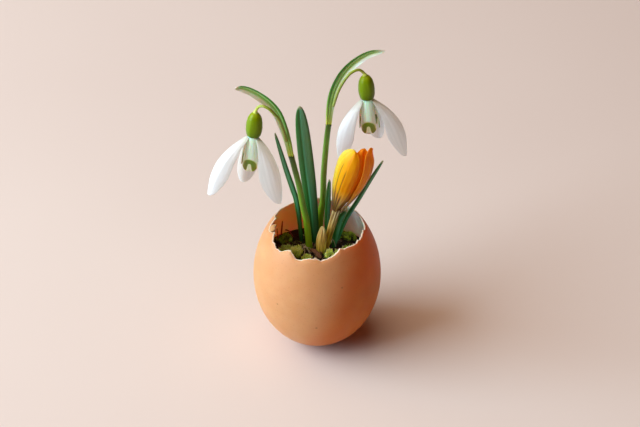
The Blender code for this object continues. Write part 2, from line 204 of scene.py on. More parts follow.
def loft(name, rings, uv, point_values=None):
    """Mesh from rings (stations, points, xyz in mm). The UV has a column more than the rings."""
    stations, count = rings.shape[:2]
    low, high = rings[:-1], rings[1:]
    turn = np.cross(np.roll(low, -1, axis=1) - low, high - low)
    middle = rings.mean(axis=(0, 1))
    if (turn * (low - middle)).sum() < 0:
        rings, uv = rings[:, ::-1], uv[:, ::-1]
        if point_values:
            point_values = {key: value[:, ::-1] for key, value in point_values.items()}
    faces, corners = [], []
    for k in range(stations - 1):
        for i in range(count):
            j = (i + 1) % count
            faces.append((k * count + i, k * count + j, (k + 1) * count + j, (k + 1) * count + i))
            corners += [uv[k, i], uv[k, i + 1], uv[k + 1, i + 1], uv[k + 1, i]]
    faces.append(tuple(range(count))[::-1])
    corners += [uv[0, i] for i in range(count)][::-1]
    faces.append(tuple(range((stations - 1) * count, stations * count)))
    corners += [uv[-1, i] for i in range(count)]
    mesh = bpy.data.meshes.new(name)
    mesh.from_pydata((rings.reshape(-1, 3) * MM).tolist(), [], faces)
    mesh.uv_layers.new(name="surface").data.foreach_set("uv", np.array(corners).ravel())
    for key, value in (point_values or {}).items():
        mesh.attributes.new(key, "FLOAT", "POINT").data.foreach_set("value", value.ravel())
    return mesh


# %% [markdown]
# ## Eggshell
#
# A hen's egg is a body of revolution, blunter at one end. The curve below is a
# known egg outline, which needs only a length, a width and a number for how far the
# widest ring sits from the middle. The shell stands on its blunt end, up to the crack.
#
# The crack's broad course is read from the plain model. Chalky shell snaps along
# short straight lines, so small straight jags are added to it from a seeded list of
# random corners, and the membrane inside tears at slightly different heights.

# %% Egg curve and crack
EGG_LENGTH, EGG_RADIUS, EGG_SKEW, FOOT_CUT, WALL = 56.5, 22.0, 1.24, 0.7, 0.45
SHELL_COLUMNS = 480


def egg_radius(height):
    x = height + FOOT_CUT - EGG_LENGTH / 2
    squared = (EGG_LENGTH ** 2 - 4 * x * x) / (EGG_LENGTH ** 2 + 8 * EGG_SKEW * x + 4 * EGG_SKEW ** 2)
    return EGG_RADIUS * np.sqrt(np.maximum(squared, 0))


def inset_radius(height, depth):
    slope = (egg_radius(height + 0.05) - egg_radius(height - 0.05)) / 0.1
    return egg_radius(height) - depth * np.sqrt(1 + slope * slope)


def jagged(angles, rng, steps, depth):
    """Straight lines between random corners round the egg: `steps` degrees apart."""
    corners = [0.0]
    while corners[-1] < 360 - steps[1]:
        corners.append(corners[-1] + rng.uniform(*steps))
    heights = rng.normal(0, depth, len(corners))
    return np.interp(angles % 360, corners + [360], [*heights, heights[0]])


plain_shell = np.array([v.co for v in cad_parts["eggshell"].data.vertices]) / MM
rim = plain_shell[plain_shell[:, 2] > 43]
rim = rim[np.hypot(rim[:, 0], rim[:, 1]) > egg_radius(rim[:, 2]) - WALL / 2]
rim_angles = np.degrees(np.arctan2(rim[:, 1], rim[:, 0])) % 360
order = np.argsort(rim_angles)
rng = np.random.default_rng(5)
angles = np.linspace(0, 360, SHELL_COLUMNS, endpoint=False)
crack = np.interp(angles, rim_angles[order], rim[order, 2], period=360)
crack += jagged(angles, rng, (2.5, 7.0), 0.14) + jagged(angles, rng, (0.75, 2.5), 0.045)
print(f"crack: {crack.min():.1f} to {crack.max():.1f} mm above the table")

# %% [markdown]
# ### Shell material
#
# Eggshell is calcite with a thin brown pigment coat. The eye sees a matt, faintly
# waxy surface: fine pores about 1 mm apart, soft cloudy mottling over 5 to 10 mm,
# and a few dark freckles. Calcite this thin lets light seep through, so the shader
# has some subsurface, redder and deeper than blue. The broken edge shows the white
# calcite, and inside lies the papery membrane, a cool greyish white.

# %% Brown eggshell
brown_shell, shader = new_material(
    "brown_eggshell_pigment_on_calcite", Roughness=0.5, IOR=1.5, Specular_IOR_Level=0.3,
    Subsurface_Weight=0.35, Subsurface_Scale=0.0025, Subsurface_Radius=(1.0, 0.35, 0.12))
place = add_node(brown_shell, "TexCoord").outputs["Object"]
clouds = add_node(brown_shell, "TexNoise", {"Vector": place, "Scale": 1 / (6.25 * MM), "Detail": 4.0})
coat = add_node(brown_shell, "ValToRGB", {"Fac": clouds},
                [(0.30, "#d59260"), (0.52, "#d79665"), (0.72, "#da9b6a")])
shaded_side_coat = add_node(brown_shell, "ValToRGB", {"Fac": clouds},
                     [(0.30, "#ce681a"), (0.52, "#d06c1d"), (0.72, "#d37222")])
# Painted shade: the coat is painted deeper towards +X, away from the window, and towards the foot; only
# the cloudy mottling in both tones is the shell's own.
where = add_node(brown_shell, "VectorMath", {0: place, 1: (83.0, 0.0, -33.0)}, operation="DOT_PRODUCT")
painted_shade_share = add_node(brown_shell, "MapRange", {"Value": where, "From Min": -1.0, "From Max": 0.1},
                    interpolation_type="SMOOTHSTEP")
pigment_and_painted_shade = add_node(brown_shell, "Mix", {"Factor": painted_shade_share, "A": coat, "B": shaded_side_coat}, data_type="RGBA")
pores = add_node(brown_shell, "TexVoronoi", {"Vector": place, "Scale": 0.95 / MM})
pore_tone = add_node(brown_shell, "ValToRGB", {"Fac": pores}, [(0.08, "#e4dad2"), (0.26, "#ffffff")])
with_pores = add_node(brown_shell, "Mix", {"Factor": 0.4, "A": pigment_and_painted_shade, "B": pore_tone},
                      data_type="RGBA", blend_type="MULTIPLY")
freckles = add_node(brown_shell, "TexVoronoi", {"Vector": place, "Scale": 0.12 / MM})
freckle_mask = add_node(brown_shell, "MapRange", {"Value": freckles, "From Min": 0.035, "From Max": 0.06,
                                                  "To Min": 0.55, "To Max": 0.0})
speckled = add_node(brown_shell, "Mix",
                    {"Factor": freckle_mask, "A": with_pores, "B": linear("#8f5a34")}, data_type="RGBA")
relief = add_node(brown_shell, "Bump", {"Height": pores, "Strength": 0.15, "Distance": 0.05 * MM})
fill(shader, {"Base Color": speckled, "Normal": relief})

# %% Chalk edge and membrane
chalk_edge = grainy_material("broken_calcite_edge", {"Scale": 2500.0, "Detail": 2.0},
                             [(0.3, "#e8ccb0"), (0.7, "#f6e2ce")],
                             Roughness=0.8, Subsurface_Weight=0.2, Subsurface_Scale=0.001)
membrane, shader = new_material("dried_egg_membrane", Roughness=0.6, Subsurface_Weight=0.6,
                                Subsurface_Scale=0.003, Subsurface_Radius=(1.0, 0.33, 0.17))
creases = add_node(membrane, "TexNoise", {"Scale": 420.0, "Detail": 5.0, "Distortion": 0.6})
papery = add_node(membrane, "ValToRGB", {"Fac": creases}, [(0.3, "#e8ded6"), (0.65, "#f6eee6")])
# Painted light: towards -X, where window light seeps through the shell, the membrane's colour is painted
# a warm pink glow.
spot = add_node(membrane, "TexCoord").outputs["Object"]
inside = add_node(membrane, "SeparateXYZ", {"Vector": spot}).outputs["X"]
painted_glow_share = add_node(membrane, "MapRange", {"Value": inside, "From Min": -10 * MM, "From Max": 8 * MM,
                                               "To Min": 1.0, "To Max": 0.0})
membrane_with_painted_glow = add_node(membrane, "Mix", {"Factor": painted_glow_share, "A": papery, "B": linear("#f2cac0")},
                   data_type="RGBA")
wrinkle = add_node(membrane, "Bump", {"Height": creases, "Strength": 0.3, "Distance": 0.2 * MM})
fill(shader, {"Base Color": membrane_with_painted_glow, "Normal": wrinkle})

# %% [markdown]
# ### Build the shell
#
# Rings run up the outside to the crack, across the broken edge, and down the inside.
# Each ring follows the crack's height at its own share, so the mesh flows into every
# jag and needs no cutting. The faces are given one of the three materials by row.

# %% Shell mesh
turns = np.radians(angles)


def egg_ring(radius, height):
    return np.stack([radius * np.cos(turns), radius * np.sin(turns), height + 0 * turns], axis=-1)


OUTER_ROWS, INNER_ROWS = 56, 36
tear = jagged(angles, rng, (1.0, 3.0), 0.14)
rings, depth_below = [], []
for k in range(OUTER_ROWS + 1):
    share = (k / OUTER_ROWS) ** 2 * 0.6 + k / OUTER_ROWS * 0.4
    height = crack * share
    rings.append(egg_ring(egg_radius(height), height))
    depth_below.append(crack - height)
rings.append(egg_ring(inset_radius(crack, WALL * 0.5), crack + 0.06))
depth_below.append(0 * crack)
for k in range(INNER_ROWS, -1, -1):
    share = (k / INNER_ROWS) ** 2 * 0.6 + k / INNER_ROWS * 0.4
    height = WALL + (crack + np.minimum(tear, 0.05) - WALL) * share
    rings.append(egg_ring(inset_radius(height, WALL), height))
    depth_below.append(crack - height)
rings = np.array(rings)
columns = np.arange(SHELL_COLUMNS + 1) / SHELL_COLUMNS
depth_below = np.concatenate([depth_below, np.array(depth_below)[:, :1]], axis=1) / EGG_LENGTH
shell_mesh = loft("brown_shell", rings, np.stack([depth_below * 0 + columns, depth_below], axis=-1))
show(shell_mesh, [brown_shell, chalk_edge, membrane], "eggshell")
rows = np.arange(len(shell_mesh.polygons)) // SHELL_COLUMNS
finish = np.where(rows < OUTER_ROWS, 0, np.where(rows < OUTER_ROWS + 2, 1, 2))
finish[-2:] = (0, 2)
shell_mesh.polygons.foreach_set("material_index", finish.astype(np.int32))

# %% [markdown]
# ### A torn flap
#
# On the left a chip of shell still hangs on the membrane and has folded inwards. It
# is a small patch of the shell's own curve, rolled in about its lower edge, and it
# shows the brown outside of the shell.

# %% Torn flap
CURL = 1.7  # radians that the chip turns through from its foot to its top
CHIP_THICKNESS = 0.22


def torn_flap(name, start, end, low, reach):
    """A patch between two angles that leaves the wall at height `low` and rolls inwards."""
    across, rise = 15, 12
    share, climb = np.meshgrid(np.linspace(0, 1, across), np.linspace(0, 1, rise))
    turn = np.radians(start + (end - start) * share)
    length = reach * (0.55 + 0.45 * np.sin(math.pi * share) + 0.12 * np.sin(17 * share))
    bend = climb * CURL
    inward = length * (1 - np.cos(bend)) / CURL + 0.12
    height = low + length * np.sin(bend) / CURL
    layers = []
    for depth in (0.0, CHIP_THICKNESS):
        radius = inset_radius(np.full_like(height, low), WALL) - inward - depth * np.cos(bend)
        layers.append(np.stack([radius * np.cos(turn), radius * np.sin(turn),
                                height - depth * np.sin(bend)], axis=-1))
    rings = np.concatenate([layers[0], layers[1][:, ::-1]], axis=1)
    return loft(name, rings, np.zeros((rise, 2 * across + 1, 2)))


show(torn_flap("torn_flap", 172, 192, 44.3, 4.3), [brown_shell])

# %% [markdown]
# ## Soil
#
# Potting soil is peat crumbs, nearly black while moist. Two things make it read as
# soil: a bed whose top is broken up by several sizes of noise, and loose crumbs that
# lie on it and catch the light. The crumbs are real lumps, so they cast shadows, and
# are joined into one mesh. A few are pale grit.

# %% Soil material
moist_peat, shader = new_material("moist_peat_crumbs", Roughness=0.9)
tone = add_node(moist_peat, "Attribute", attribute_name="tone").outputs["Fac"]
fibres = add_node(moist_peat, "TexNoise", {"Scale": 1400.0, "Detail": 6.0, "Roughness": 0.7})
mixed = add_node(moist_peat, "Math", {0: tone, 1: fibres}, operation="MULTIPLY")
peat = add_node(moist_peat, "ValToRGB", {"Fac": mixed},
                [(0.0, "#120b08"), (0.26, "#2c1d14"), (0.42, "#6a4a30"), (0.56, "#f0dfc2")])
crumbly = add_node(moist_peat, "Bump", {"Height": fibres, "Strength": 0.7, "Distance": 0.5 * MM})
fill(shader, {"Base Color": peat, "Normal": crumbly})

# %% Soil bed
SOIL_LEVEL = 32.0


def soil_height(x, y):
    waves = 0.35 * np.sin(0.37 * x + 1.0) * np.cos(0.31 * y) + 0.2 * np.sin(0.6 * y + 0.35 * x)
    return SOIL_LEVEL + waves - 0.0035 * (x * x + y * y)


def rough_height(x, y):
    """The soil's height with clods about 2.5 mm and crumbs about 1 mm across."""
    clods = noise.noise(Vector((x / 2.5, y / 2.5, 3.0)))
    crumbs = noise.noise(Vector((x, y, 7.0)))
    return soil_height(x, y) + 0.5 * clods + 0.3 * crumbs


bed_turns = np.linspace(0, math.tau, 120, endpoint=False)
bed_rings = []
for height in np.concatenate([np.linspace(0.6, 8, 8), np.linspace(11, 30.5, 10)]):
    reach = inset_radius(height, WALL + 0.08)
    bed_rings.append([(reach * math.cos(a), reach * math.sin(a), height) for a in bed_turns])
for share in np.linspace(0.995, 0.01, 44):
    ring = []
    for a in bed_turns:
        x, y = (inset_radius(31.0, WALL + 0.08) * share * f(a) for f in (math.cos, math.sin))
        ring.append((x, y, rough_height(x, y)))
    bed_rings.append(ring)
bed_rings = np.array(bed_rings)
bed_uv = np.zeros((len(bed_rings), 121, 2))
bed_mesh = loft("soil_bed", bed_rings, bed_uv, {"tone": np.full(bed_rings.shape[:2], 0.45)})
show(bed_mesh, [moist_peat], "soil")

# %% Loose crumbs
def lump_mesh(name, lumps):
    """Join lumps (centre, radii, seed, tone) into one mesh of knobbly closed stones."""
    ball = bmesh.new()
    bmesh.ops.create_icosphere(ball, subdivisions=2, radius=1.0)
    points = np.array([v.co for v in ball.verts])
    triangles = np.array([[v.index for v in f.verts] for f in ball.faces])
    ball.free()
    verts, faces, tones = [], [], []
    for centre, radii, seed, tone_value in lumps:
        bumps = np.array([noise.noise(Vector(p * 1.3) + Vector((seed * 3.1, 0, 0))) for p in points])
        faces.append(triangles + len(verts) * len(points))
        verts.append(np.array(centre) + points * (1 + 0.55 * bumps)[:, None] * np.array(radii))
        tones.append(np.full(len(points), tone_value))
    mesh = bpy.data.meshes.new(name)
    mesh.from_pydata((np.concatenate(verts) * MM).tolist(), [], np.concatenate(faces).tolist())
    mesh.attributes.new("tone", "FLOAT", "POINT").data.foreach_set("value", np.concatenate(tones))
    return mesh


rng = np.random.default_rng(11)
crumbs = []
for i in range(330):
    reach = 18.3 * math.sqrt(rng.uniform(0, 1))
    turn = rng.uniform(0, math.tau)
    x, y = reach * math.cos(turn), reach * math.sin(turn)
    size = rng.uniform(0.25, 0.75)
    crumb_tone = 1.5 if rng.uniform() < 0.12 else rng.uniform(0.25, 1.0)
    radii = size * rng.uniform(0.6, 1.2, 3)
    crumbs.append(((x, y, rough_height(x, y) + 0.3 * size), radii, i, crumb_tone))
show(lump_mesh("soil_crumbs", crumbs), [moist_peat])
print(len(crumbs), "crumbs on the soil")

# %% [markdown]
# ## Moss
#
# Cushion moss is a crowd of upright shoots, each a spiral of pointed leaves about a
# millimetre long. Drawn as a bumpy ball it looks like felt, so every leaf is made:
# a three sided spike with its own lean. Spikes are painted darker towards their foot,
# as painted shade deep in the cushion, and pale up to near white yellow at the tips,
# as painted highlight; each cushion has its own age and colour.

# %% Moss material
moss_leaf, shader = new_material("cushion_moss_leaves", Roughness=0.6, Subsurface_Weight=0.3,
                                 Subsurface_Scale=0.0008)
freshness_and_painted_light = add_node(moss_leaf, "Attribute", attribute_name="tone").outputs["Fac"]
# The tone runs from painted shade at a leaf's foot to a near white painted highlight at a fresh tip.
moss_colour_and_painted_light = add_node(moss_leaf, "ValToRGB", {"Fac": freshness_and_painted_light},
                     [(0.0, "#1a190c"), (0.2, "#607a1c"), (0.42, "#b2d034"), (0.68, "#e8fa5c"),
                      (1.0, "#ffffc4")])
fill(shader, {"Base Color": moss_colour_and_painted_light})

# %% Moss cushions
# (x, y, radius along x, radius along y, height, freshness 0 to 1, leaf length)
MOSS = [
    (-11.8, 12.2, 2.5, 2.2, 3.2, 0.62, 1.4), (-11.0, 5.4, 2.6, 2.2, 1.9, 1.00, 1.5),
    (-7.3, 3.4, 1.5, 1.5, 3.4, 1.00, 2.0), (-3.6, 0.0, 1.5, 1.5, 2.2, 0.85, 1.4),
    (5.4, 1.4, 2.2, 2.4, 3.0, 1.10, 1.7), (10.8, 13.6, 2.6, 2.0, 2.5, 0.60, 1.4),
    (11.6, 5.6, 2.8, 2.2, 1.6, 0.60, 1.3), (-13.6, -3.4, 2.6, 2.8, 2.0, 0.95, 1.5),
    (-4.4, -8.6, 3.0, 2.4, 1.8, 0.90, 1.4), (6.6, -9.4, 3.2, 2.6, 2.2, 0.80, 1.4),
    (14.0, -2.6, 2.2, 2.6, 1.7, 0.60, 1.3),
]


# A leaf's corners: 0 its foot, 1 to 3 round its belly, 4 its tip.
SPIKE_FACES = [(0, 2, 1), (0, 1, 3), (0, 3, 2), (4, 1, 2), (4, 3, 1), (4, 2, 3)]


def spikes(name, leaves):
    """Join pointed leaves (foot, tip, half width, tone at foot, tone at tip) into one mesh."""
    verts, faces, tones = [], [], []
    for foot, tip, half, foot_tone_and_shade, tip_tone_and_highlight in leaves:
        ahead = (tip - foot).normalized()
        side = ahead.cross(Vector((0.3, 0.2, 1.0))).normalized() * half
        keel = ahead.cross(side) * 0.45
        belly = foot.lerp(tip, 0.4) + keel * 0.6
        first = len(verts)
        verts += [foot, belly + side, belly - side, belly - keel * 1.6, tip]
        faces += [tuple(first + corner for corner in face) for face in SPIKE_FACES]
        middle = (foot_tone_and_shade + tip_tone_and_highlight) / 2
        tones += [foot_tone_and_shade, middle, middle, middle, tip_tone_and_highlight]
    mesh = bpy.data.meshes.new(name)
    mesh.from_pydata([v * MM for v in verts], [], faces)
    mesh.attributes.new("tone", "FLOAT", "POINT").data.foreach_set("value", tones)
    return mesh


SHOOTS, LEAVES_ON_SHOOT = 46, 15
LEAF_TURN = 2.4  # radians from a leaf to the next one up, the golden angle


def moss_cushion(number, x, y, rx, ry, tall, fresh, leaf):
    rng = np.random.default_rng(40 + number)
    leaves = []
    for shoot in range(SHOOTS):
        reach, turn = math.sqrt(rng.uniform(0, 1)), rng.uniform(0, math.tau)
        across, away = reach * math.cos(turn), reach * math.sin(turn)
        px, py = x + rx * across, y + ry * away
        rise = max(tall * math.sqrt(1 - 0.85 * reach * reach) - 0.35 * leaf, 0.3)
        foot = Vector((px, py, rough_height(px, py) - 0.2))
        lean = Vector((across * 0.5, away * 0.5, 1)).normalized()
        age = fresh * rng.uniform(0.65, 1.15)
        for step in range(LEAVES_ON_SHOOT):
            share = (step + 1) / LEAVES_ON_SHOOT
            at = foot + lean * (rise * share)
            swing = step * LEAF_TURN + rng.uniform(0, 0.5)
            spread = 0.95 - 0.6 * share
            heading = Vector((math.cos(swing) * spread, math.sin(swing) * spread, 0.35 + 0.6 * share))
            length = leaf * rng.uniform(0.55, 0.85)
            tip = at + heading.normalized() * length
            # Painted light: leaves low on a shoot are painted dark as shade, and the tips pale as
            # highlight.
            tip_tone_and_highlight = min(age * (0.3 + 0.9 * share), 1.0)
            leaves.append((at, tip, length * 0.17, age * share * 0.3, tip_tone_and_highlight))
    return spikes(f"moss_cushion_{number}", leaves)


for number, clump in enumerate(MOSS, start=1):
    show(moss_cushion(number, *clump), [moss_leaf], f"moss_{number}")

# %% Stray moss between the cushions
rng = np.random.default_rng(23)
strays = []
for i in range(900):
    reach, turn = 18.0 * math.sqrt(rng.uniform(0, 1)), rng.uniform(0, math.tau)
    x, y = reach * math.cos(turn), reach * math.sin(turn)
    if noise.noise(Vector((x / 4, y / 4, 1.5))) < -0.02:
        continue
    foot = Vector((x, y, rough_height(x, y) - 0.1))
    heading = Vector((rng.normal(0, 0.6), rng.normal(0, 0.6), 0.7)).normalized()
    fresh = rng.uniform(0.2, 0.6)
    # Stray leaves too are painted darker at the foot, as painted shade.
    strays.append((foot, foot + heading * rng.uniform(0.8, 1.7), 0.16, fresh * 0.4, fresh))
show(spikes("stray_moss", strays), [moss_leaf])
print(len(MOSS), "cushions and", len(strays), "stray leaves")

# %% [markdown]
# ## Curves, stems and blades
#
# All that grows here follows a curve. A stem is a tube round it. A leaf or a petal is
# a thin solid along it: it has a half width at each place, and it is cupped, so its
# edges fall back from its outer side. Both are made by looking the curve up for a
# whole grid at once. The grid is finer at the edges and the tip, where outlines turn.

# %% Curve helpers
def curve_through(points, count=240):
    """Points in mm on a Catmull-Rom curve through the given ones."""
    pts = np.array(points, float)
    pts = np.vstack([2 * pts[0] - pts[1], pts, 2 * pts[-1] - pts[-2]])
    where = np.linspace(0, len(pts) - 3, count)
    i = np.minimum(where.astype(int), len(pts) - 4)
    t = (where - i)[:, None]
    a, b, c, d = (pts[i + k] for k in range(4))
    squared, cubed = 2 * a - 5 * b + 4 * c - d, 3 * b - a - 3 * c + d
    return 0.5 * (2 * b + (c - a) * t + squared * t ** 2 + cubed * t ** 3)


def at_share(track, share):
    places = np.linspace(0, 1, len(track))
    return np.stack([np.interp(share, places, track[:, k]) for k in range(3)], axis=-1)


def unit(vectors):
    return vectors / np.linalg.norm(vectors, axis=-1, keepdims=True)


FRONT = (0, -1, 0.001)  # the way a blade's outer side faces, a hair off level


def side_and_out(track, facing):
    """Across the blade, and square to it towards its outer side, along a curve."""
    ahead = unit(np.gradient(track, axis=0))
    side = unit(np.cross(ahead, np.array(facing, float)))
    return side, np.cross(side, ahead)


def stem_mesh(name, points, radius_at, sides=20, along=70, flutes=0, depth=0.0):
    """A tube; `flutes` shallow grooves of a relative depth run along it."""
    track = curve_through(points)
    side, out = side_and_out(track, FRONT)
    v = np.linspace(0, 1, along)[:, None]
    turn = np.linspace(0, math.tau, sides, endpoint=False)[None, :]
    radius = radius_at(v) * (1 - depth * (0.5 + 0.5 * np.cos(flutes * turn)))
    spot = np.broadcast_to(v, (along, sides))
    rings = (at_share(track, spot) + at_share(side, spot) * (radius * np.cos(turn))[..., None]
             + at_share(out, spot) * (radius * np.sin(turn))[..., None])
    u = np.broadcast_to(np.linspace(0, 1, sides + 1), (along, sides + 1))
    return loft(name, rings, np.stack([u, np.broadcast_to(v, u.shape)], axis=-1))


def blade_grid(across, along):
    u = np.sin(np.linspace(-1, 1, across) * math.pi / 2)
    v = np.sin(np.linspace(0, 1, along) * math.pi / 2)
    return np.meshgrid(u, v)


def two_sided(name, front, back, u, v, values=None):
    """Close a front and a back grid into one solid."""
    rings = np.concatenate([front, back[:, ::-1]], axis=1)
    flat = np.stack([(u + 1) / 2, v], axis=-1)
    uv = np.concatenate([flat, flat[:, ::-1], flat[:, :1]], axis=1)
    if values:
        values = {key: np.concatenate([value, value[:, ::-1]], axis=1) for key, value in values.items()}
    return loft(name, rings, uv, values)


def blade_mesh(name, points, facing, half_at, thickness, cup, across=33, along=56, notch=0.0,
               relief=None, values=None):
    """A leaf or petal. `relief(u, v)` lifts it in mm; `notch` is cut from its tip."""
    u, v = blade_grid(across, along)
    track = curve_through(points)
    reach = v * (1 - notch * np.exp(-(u / 0.24) ** 2) * v ** 6)
    half = half_at(v)
    fall = -cup * half ** 2 / half.max() * u * u
    if relief:
        fall = fall + relief(u, v)
    thick = thickness * (1 - 0.6 * u ** 4)
    side, out = (at_share(x, reach) for x in side_and_out(track, facing))
    centre = at_share(track, reach) + side * (u * half)[..., None]
    front = centre + out * (fall + thick / 2)[..., None]
    back = centre + out * (fall - thick / 2)[..., None]
    return two_sided(name, front, back, u, v, values(u, v) if values else None)


def petal_outline(half, claw, fullest=0.5, tip=0.12):
    """Half width along a petal: a narrow claw, widest at `fullest`, a round tip."""
    def at(v):
        swell = claw + (half - claw) * np.sin(math.pi / 2 * np.minimum(v / fullest, 1))
        fall = np.clip((v - fullest) / (1 - fullest), 0, 1)
        return np.where(v < fullest, swell, tip + (half - tip) * np.sqrt(1 - fall * fall))
    return at


# %% [markdown]
# ## Snowdrop stems
#
# A snowdrop's stem is smooth and a little waxy, with very fine lengthwise lines. It
# is yellow green where it leaves the soil and again, for a few millimetres, above
# the joint where the leafy sheath begins; just below the joint it is dark.

# %% Stem material
def places(material):
    """The places across (X) and along (Y) a piece, 0 to 1."""
    surface = add_node(material, "UVMap", uv_map="surface")
    return add_node(material, "SeparateXYZ", {"Vector": surface}).outputs


def lengthwise(material, lines):
    """Fine streaks along a piece, with `lines` of them across it."""
    surface = add_node(material, "UVMap", uv_map="surface")
    squeezed = add_node(material, "VectorMath", {0: surface, 1: (lines, 1.5, 1.0)}, operation="MULTIPLY")
    return add_node(material, "TexNoise", {"Vector": squeezed, "Scale": 1.0, "Detail": 3.0})


def lay_streaks(material, shader, colour, streaks, stops, amount, relief=None, rise=0.3 * MM):
    """Shade a colour by its streaks and raise them; the result goes on the shader."""
    shade = add_node(material, "ValToRGB", {"Fac": streaks}, stops)
    streaked = add_node(material, "Mix", {"Factor": amount, "A": colour, "B": shade},
                        data_type="RGBA", blend_type="MULTIPLY")
    fill(shader, {"Base Color": streaked})
    if relief:
        raised = add_node(material, "Bump", {"Height": streaks, "Strength": relief, "Distance": rise})
        fill(shader, {"Normal": raised})
    return streaked


def streaked_material(name, lines, tones, streak_tones, amount, relief=None, rise=0.3 * MM, **values):
    """A finish whose tones run from foot to tip, with `lines` fine streaks across it."""
    material, shader = new_material(name, **values)
    tone = add_node(material, "ValToRGB", {"Fac": places(material)["Y"]}, tones)
    lay_streaks(material, shader, tone, lengthwise(material, lines), streak_tones, amount, relief, rise)
    return material


stem_skin = streaked_material(
    "waxy_snowdrop_stem", 14.0,
    [(0.0, "#9cc814"), (0.25, "#9cc82c"), (0.45, "#86b43c"), (0.75, "#78a83a"), (0.93, "#547a20"),
     (1.0, "#3f5e12")],
    [(0.3, "#d3dcc0"), (0.65, "#ffffff")], 0.8, relief=0.25, rise=0.2 * MM,
    Roughness=0.38, IOR=1.45, Subsurface_Weight=0.2, Subsurface_Scale=0.001)

# %% Plan of the two snowdrops
# Routes of the stem, the leafy sheath (spathe) and the flower's own stalk (pedicel),
# the top of the ovary and the way the flower hangs, then each outer petal as
# (direction round the axis, flare, length, half width, bulge).
SNOWDROPS = {
    "left": {
        "stem": [(-2.6, 6.5, 30.5), (-3.6, 6.3, 43.3), (-4.8, 6.0, 50.2), (-6.2, 5.5, 59.5),
                 (-8.6, 5.0, 71.3)],
        "spathe": [(-8.65, 5.0, 71.1), (-9.7, 4.8, 77.0), (-11.2, 4.6, 82.9), (-13.2, 4.4, 88.2),
                   (-16.4, 4.2, 92.4), (-20.4, 4.0, 95.6), (-23.6, 3.8, 97.3), (-26.2, 3.6, 97.6)],
        "pedicel": [(-10.2, 4.0, 77.5), (-11.1, 3.2, 82.1), (-12.3, 2.7, 86.4), (-13.8, 2.4, 88.8),
                    (-15.4, 2.5, 90.6), (-17.1, 2.9, 91.4), (-18.4, 3.6, 91.1), (-19.5, 4.0, 89.8),
                    (-20.0, 4.0, 88.4)],
        "ovary": (-20.0, 4.0, 88.5), "hang": (-0.09, -0.02, -1.0), "inner_turn": -101.0,
        "upper_edge": 1,
        "outer": [(-162.0, 30.5, 24.7, 4.6, 3.8), (-38.0, 29.7, 23.3, 4.6, 3.0),
                  (105.0, 14.0, 23.3, 3.5, 2.4)],
    },
    "right": {
        "stem": [(0.5, 12.5, 30.5), (1.2, 12.7, 42.2), (2.0, 13.0, 47.9), (2.3, 13.5, 59.1),
                 (3.2, 14.2, 71.1), (3.9, 14.5, 77.7)],
        "spathe": [(3.9, 14.5, 77.5), (4.2, 14.5, 82.3), (4.9, 14.5, 87.3), (6.3, 14.5, 91.9),
                   (8.9, 14.5, 97.0), (12.6, 14.5, 101.1), (17.0, 14.5, 104.1), (22.0, 14.5, 105.3)],
        "pedicel": [(5.4, 13.8, 85.0), (6.4, 13.0, 89.1), (7.4, 12.7, 92.3), (8.8, 12.5, 95.2),
                    (10.4, 12.6, 97.6), (12.1, 13.2, 98.6), (13.7, 14.0, 98.6), (15.0, 14.5, 97.5),
                    (15.7, 14.5, 96.3)],
        "ovary": (15.8, 14.5, 96.4), "hang": (0.09, 0.0, -1.0), "inner_turn": -96.0,
        "upper_edge": -1,
        "outer": [(-160.0, 27.0, 22.4, 4.5, 3.7), (-18.0, 26.5, 23.3, 4.7, 4.1),
                  (66.0, 12.5, 19.6, 3.6, 2.4)],
    },
}

# %% Stems
def stem_radius(v):
    """1.2 mm at the soil, 0.95 mm at the joint, with a slight ring just under it."""
    return 1.2 - 0.25 * v + 0.08 * np.exp(-((v - 0.99) / 0.015) ** 2)


for side_name, plan in SNOWDROPS.items():
    mesh = stem_mesh(f"{side_name}_stem", plan["stem"], stem_radius, along=120, flutes=7, depth=0.03)
    show(mesh, [stem_skin], f"snowdrop_{side_name}_stem")

# %% [markdown]
# ## Spathe
#
# Two narrow green leaves, grown together, wrap the bud. When it opens they stay
# behind it as an arched sheath: two green keels with papery skin stretched between
# them and a loose wing of the same skin below. The cross section below has the
# keels' thickness at two places and next to nothing between. The skin has lost its
# green, so it is drawn whitish and lets light through.

# %% Spathe material
spathe_skin, shader = new_material("green_keels_papery_skin", Roughness=0.45, Subsurface_Weight=0.35,
                                   Subsurface_Scale=0.001)
at, streaks = places(spathe_skin), lengthwise(spathe_skin, 16.0)
keel_tone = add_node(spathe_skin, "ValToRGB", {"Fac": at["X"]},
                     [(0.0, "#e8ecdc"), (0.26, "#dce6c8"), (0.36, "#a4c87c"), (0.46, "#74a83c"),
                      (0.56, "#94c45c"), (0.68, "#a4d086"), (0.80, "#4c9228"), (1.0, "#428420")])
# Towards its tip the whole sheath dries to cream, and at the joint it is yellow green.
tip_dry = add_node(spathe_skin, "ValToRGB", {"Fac": at["Y"]},
                   [(0.0, "#d6de48"), (0.05, "#b4c840"), (0.22, "#8cb43c"), (0.34, "#8cb43c"),
                    (0.90, "#d8dcb8"), (1.0, "#ece6d8")])
how_dry = add_node(spathe_skin, "ValToRGB", {"Fac": at["Y"]},
                   [(0.0, "#ffffff"), (0.10, "#d8d8d8"), (0.40, "#000000"), (0.90, "#000000"),
                    (1.0, "#ffffff")])
spathe_tone = add_node(spathe_skin, "Mix", {"Factor": how_dry, "A": keel_tone, "B": tip_dry},
                       data_type="RGBA")
skin_lines = add_node(spathe_skin, "Bump", {"Height": streaks, "Strength": 0.3, "Distance": 0.2 * MM})
fill(shader, {"Base Color": spathe_tone, "Normal": skin_lines})

